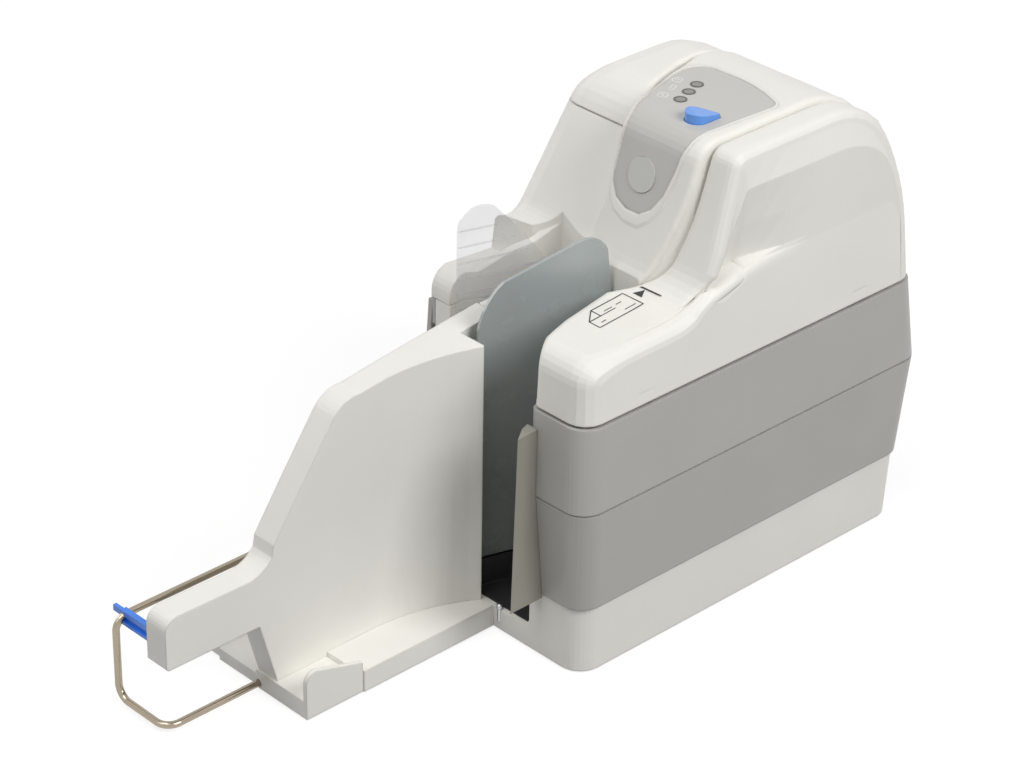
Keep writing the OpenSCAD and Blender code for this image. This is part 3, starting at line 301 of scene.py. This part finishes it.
def print_line(name, a, b, width, steps=4):
    """A printed line that lies on the front cover's upper surface from a to b, in plan."""
    points = []
    for k in range(steps + 1):
        t = k / steps
        points.append(on_top("front_cover", a[0] + (b[0] - a[0]) * t, a[1] + (b[1] - a[1]) * t,
                             PRINT_LIFT))
    side = Vector((b[0] - a[0], b[1] - a[1], 0)).normalized().cross(UP) * width / 2000
    verts = []
    for q in points:
        verts += [q - side, q + side, q + side + UP * MARK, q - side + UP * MARK]
    faces = [[0, 1, 2, 3], [4 * steps + 3, 4 * steps + 2, 4 * steps + 1, 4 * steps]]
    for k in range(steps):
        for m in range(4):
            n = (m + 1) % 4
            faces.append([4 * k + m, 4 * k + 4 + m, 4 * k + 4 + n, 4 * k + n])
    mesh_piece(name, verts, faces, PRINT)


# Which way round the documents go in: a plain folded sheet, an arrow and a stop line.
PAPER = [(34.0, 33.1), (52.2, 34.2), (52.3, 23.0), (27.4, 21.4), (27.4, 27.2), (34.0, 33.1)]
FOLD = [(34.0, 33.1), (33.9, 27.6), (27.4, 27.2)]
ROWS = [((37.5, 29.4), (42.0, 29.7)), ((44.4, 30.0), (47.4, 30.2)), ((44.2, 24.9), (50.4, 25.3)),
        ((30.6, 23.9), (33.2, 24.1)), ((33.9, 27.6), (42.4, 28.2))]
STOP = [((58.9, 19.8), (58.6, 33.6))]
ARROW = [(54.6, 31.0), (54.6, 26.2), (58.0, 27.9)]
for label, lines, width in (("sheet_edge", list(zip(PAPER, PAPER[1:])), 0.45),
                            ("sheet_fold", list(zip(FOLD, FOLD[1:])), 0.45),
                            ("sheet_row", ROWS, 0.35), ("stop_mark", STOP, 1.0)):
    for k, (a, b) in enumerate(lines):
        print_line("%s_%d" % (label, k + 1), a, b, width)
plate("feed_arrow", [on_top("front_cover", x, y, ARROW_LIFT) for x, y in ARROW], UP, MARK, PRINT)

# Lamps on the panel, with plain signs beside them: a ring with a dot, a clock and a page.
SIGN_Z = on_top("control_panel", 110, 45).z * 1000 + SIGN_LIFT
SIGN_R, SIGN_LINE, SIGN_H = 1.9, 0.35, 0.1
DOT_R, DOT_LINE = 0.2, 0.4
HAND_W = 0.0004
PAGE_W = 0.00035
LAMPS = [(101.1, 53.8), (108.6, 56.5), (115.9, 59.1)]
READY = (98.8, 61.2, SIGN_Z)
WAIT = (113.2, 67.2, SIGN_Z)
HANDS = [("wait_sign_hand", (113.2, 68.6, SIGN_Z)), ("wait_sign_short_hand", (114.2, 67.2, SIGN_Z))]
PAGE = [(105.0, 61.9), (109.0, 63.4), (108.4, 65.1), (104.4, 63.6)]
for k, lamp_at in enumerate(LAMPS):
    ring("lamp_bezel_%d" % (k + 1), (*lamp_at, SIGN_Z), 2.05, 0.7, 0.25, BEZEL)
ring("ready_sign_ring", READY, SIGN_R, SIGN_LINE, SIGN_H, SIGN)
ring("ready_sign_dot", READY, DOT_R, DOT_LINE, SIGN_H, SIGN)
ring("wait_sign_ring", WAIT, SIGN_R, SIGN_LINE, SIGN_H, SIGN)
for name, tip in HANDS:
    stroke(name, at(*WAIT), at(*tip), HAND_W, UP, MARK, SIGN)
for k, (a, b) in enumerate(zip(PAGE, PAGE[1:] + PAGE[:1])):
    stroke("page_sign_%d" % (k + 1), at(*a, SIGN_Z), at(*b, SIGN_Z), PAGE_W, UP, MARK, SIGN)

# Ribs on the clear guide, which stiffen it and keep the sheets off it.
GUIDE_FROM = Vector((26.2, 100.4, 0))
GUIDE_TO = Vector((61.4, 84.0, 0))
ALONG = (GUIDE_TO - GUIDE_FROM).normalized()
FRONT = Vector((ALONG.y, -ALONG.x, 0))
GUIDE_FACE = 0.6
RIB_W, RIB_H = 0.0007, 0.0004
RIBS = [(0.3, 149.2, 16.0, 150.4), (0.2, 142.1, 24.0, 144.2), (0.2, 134.8, 29.5, 137.6),
        (0.2, 127.8, 33.5, 130.9), (0.2, 121.0, 34.0, 124.0), (0.2, 114.0, 34.5, 117.0)]


def on_guide(u, z):
    """A point of the guide's front face: u along it from its free edge, z above the desk."""
    q = GUIDE_FROM + ALONG * u + FRONT * GUIDE_FACE
    return at(q.x, q.y, z)


for k, (u0, z0, u1, z1) in enumerate(RIBS):
    stroke("guide_rib_%d" % (k + 1), on_guide(u0, z0), on_guide(u1, z1), RIB_W, FRONT, RIB_H, RIB)

# A smooth fairing over the left end of the front cover's ledge, where the CAD surface folds. It is a thin
# sheet of rows across the ledge, in millimetres.
FAIR_FROM, FAIR_TO, FAIR_ROWS = 64.5, 93.0, 24
LEDGE_START, LEDGE_Z, LEDGE_RISE = 65.0, 144.3, 0.28
FACE_Y = 1.72
EDGE_R, EDGE_STEP = 4.5, 15
FOOT_IN, FOOT_DROP = 0.8, 1.8
# The right end goes down into the cover's own surface.
MERGE_FROM, MERGE_LENGTH = 82.0, 10.0
MERGE_UNDER = 0.3
MERGE_BULGE = 0.5
LEDGE_BAND = 2
MISS_DROP = 1
# The left end turns in behind the cover's edge.
TUCK_TO, TUCK_LENGTH = 68.6, 5.0
TUCK_DROP = 1.5
END_IN = 1.6
# The back meets the wall of the tall part.
WALL_LOOK_FROM, WALL_LOOK_UP = -40, 1.5
WALL_Y = 10
WALL_IN = 0.8
LEAST_FLAT = 0.8
BACK_LIFT = 0.9
SHEET = 0.6


def hit_cover(start, way):
    """Where a ray first meets the front cover, in millimetres from the body's corner."""
    hit, place, _, _ = frame["nodes"]["front_cover"].ray_cast(start, way)
    return place * 1000 + Vector((BODY_W / 2, BODY_D / 2, 0)) if hit else None


def fairing_row(u):
    """Points across the ledge at u, from below the front edge to the foot of the tall part."""
    line = LEDGE_Z + LEDGE_RISE * (u - LEDGE_START)
    merge = min(1, max(0, (u - MERGE_FROM) / MERGE_LENGTH))
    merge = merge * merge * (3 - 2 * merge)
    tuck = max(0, (TUCK_TO - u) / TUCK_LENGTH)
    line -= TUCK_DROP * tuck * tuck
    wall = hit_cover(at(u, WALL_LOOK_FROM, line + WALL_LOOK_UP), Y)
    wall_y = (wall.y if wall else WALL_Y) + WALL_IN
    edge_y = FACE_Y + EDGE_R
    places = [(FACE_Y + FOOT_IN, EDGE_R + FOOT_DROP)]
    for q in range(0, 91, EDGE_STEP):
        turn = math.radians(q)
        places.append((FACE_Y + EDGE_R * (1 - math.cos(turn)), EDGE_R * (1 - math.sin(turn))))
    back_y = max(wall_y, edge_y + LEAST_FLAT)
    places += [((edge_y + back_y) / 2, -BACK_LIFT / 3), (back_y, -BACK_LIFT)]
    row = []
    for y, drop in places:
        if y < edge_y:
            y += END_IN * max(merge, tuck)
        top = line - drop
        below = hit_cover(at(u, y, SKY_Z), -UP)
        own = below.z - MERGE_UNDER if below and below.z < line + LEDGE_BAND else top - MISS_DROP
        row.append((u, y, top * (1 - merge) + min(own, top + MERGE_BULGE) * merge))
    return row


rows = [fairing_row(FAIR_FROM + (FAIR_TO - FAIR_FROM) * k / FAIR_ROWS) for k in range(FAIR_ROWS + 1)]
across = len(rows[0])
shell = [at(*q) for row in rows for q in row]
shell += [at(x, y + SHEET / 2, z - SHEET) for row in rows for x, y, z in row]
half = len(rows) * across
quads = []
for a in range(FAIR_ROWS):
    for b in range(across - 1):
        k = a * across + b
        quads.append([k, k + across, k + across + 1, k + 1])
        quads.append([half + k, half + k + 1, half + k + across + 1, half + k + across])
for a in range(FAIR_ROWS):
    k = a * across
    quads.append([k, half + k, half + k + across, k + across])
    k += across - 1
    quads.append([k, k + across, half + k + across, half + k])
for b in range(across - 1):
    quads.append([b, b + 1, half + b + 1, half + b])
    k = FAIR_ROWS * across + b
    quads.append([k, half + k, half + k + 1, k + 1])
mesh_piece("ledge_fairing", shell, quads, SHELL).data.shade_smooth()

# Camera: the photo's viewing angle.
CAM_AT = at(-756.54, -747.51, 746.48)
YAW = math.radians(-43.83)
PITCH = math.radians(29.995)
ROLL = math.radians(0.948)
LENS_PX = 3307.9
PICTURE_W = 1024
SENSOR_W = 36
CLIP_START = 0.05

back = Vector((math.sin(YAW) * math.cos(PITCH), -math.cos(YAW) * math.cos(PITCH), math.sin(PITCH)))
level = Vector((math.cos(YAW), math.sin(YAW), 0))
upright = back.cross(level)
right = level * math.cos(ROLL) + upright * math.sin(ROLL)
up = upright * math.cos(ROLL) - level * math.sin(ROLL)
cam_data = bpy.data.cameras.new("camera")
cam_data.sensor_width = SENSOR_W
cam_data.lens = LENS_PX / PICTURE_W * SENSOR_W
cam_data.clip_start = CLIP_START
camera = bpy.data.objects.new("camera", cam_data)
bpy.context.scene.collection.objects.link(camera)
camera.matrix_world = Matrix((
    (right.x, up.x, back.x, CAM_AT.x),
    (right.y, up.y, back.y, CAM_AT.y),
    (right.z, up.z, back.z, CAM_AT.z),
    (0, 0, 0, 1)))
bpy.context.scene.camera = camera

# Light: a dim tent, a large key lamp from the front, weaker ones from above, left and behind. Floor and
# sky are pale where the camera, a gloss or a clear piece shows them.
AIM = Vector((0, 0, 0.1))
AREAS = [("key", (0.2, -1.65, 1.5), 1.1, 27.5), ("top", (-0.85, -0.1, 1.9), 1.2, 12),
         ("left", (-1.6, 0.3, 1.5), 1.2, 4), ("back", (-0.4, 1.7, 0.7), 1.2, 8)]
WORLD_LIGHT = 0.19
FLOOR_CLOTH = 0.3
FLOOR_GLOW = 0.8
FLOOR_SIZE = 6
FLOOR_Z = -0.0002

for name, place, size, power in AREAS:
    light = bpy.data.lights.new(name, "AREA")
    light.shape = "SQUARE"
    light.size = size
    light.energy = power
    holder = bpy.data.objects.new(name, light)
    bpy.context.scene.collection.objects.link(holder)
    holder.location = place
    holder.rotation_euler = (AIM - Vector(place)).to_track_quat("-Z", "Y").to_euler()


def seen(nodes, links):
    """1 where a ray shows the surroundings: straight to the camera, in a gloss or through a clear piece."""
    path = nodes.new("ShaderNodeLightPath")
    total = path.outputs["Is Camera Ray"]
    for kind in ("Is Glossy Ray", "Is Transmission Ray"):
        total = combined(nodes, links, "MAXIMUM", total, path.outputs[kind])
    return total


def background(nodes, strength):
    """White surroundings of one strength."""
    tent = nodes.new("ShaderNodeBackground")
    tent.inputs["Color"].default_value = (1, 1, 1, 1)
    tent.inputs["Strength"].default_value = strength
    return tent.outputs["Background"]


world = bpy.data.worlds.new("tent")
world.use_nodes = True
bpy.context.scene.world = world
nodes, links = world.node_tree.nodes, world.node_tree.links
nodes.clear()
world_out = nodes.new("ShaderNodeOutputWorld")
sky = mixed(nodes, links, seen(nodes, links), background(nodes, WORLD_LIGHT), background(nodes, 1))
links.new(sky, world_out.inputs["Surface"])

floor_mat, nodes, links, floor_out = new_material("floor")
cloth = nodes.new("ShaderNodeBsdfDiffuse")
cloth.inputs["Color"].default_value = (FLOOR_CLOTH, FLOOR_CLOTH, FLOOR_CLOTH, 1)
glow = nodes.new("ShaderNodeEmission")
glow.inputs["Color"].default_value = (FLOOR_GLOW, FLOOR_GLOW, FLOOR_GLOW, 1)
pale = nodes.new("ShaderNodeAddShader")
links.new(cloth.outputs["BSDF"], pale.inputs[0])
links.new(glow.outputs["Emission"], pale.inputs[1])
ground = mixed(nodes, links, seen(nodes, links), cloth.outputs["BSDF"], pale.outputs["Shader"])
links.new(ground, floor_out.inputs["Surface"])
bpy.ops.mesh.primitive_plane_add(size=FLOOR_SIZE, location=(0, 0, FLOOR_Z))
floor = bpy.context.object
floor.name = "floor"
floor.data.materials.append(floor_mat)

bpy.context.scene.view_settings.view_transform = "Standard"
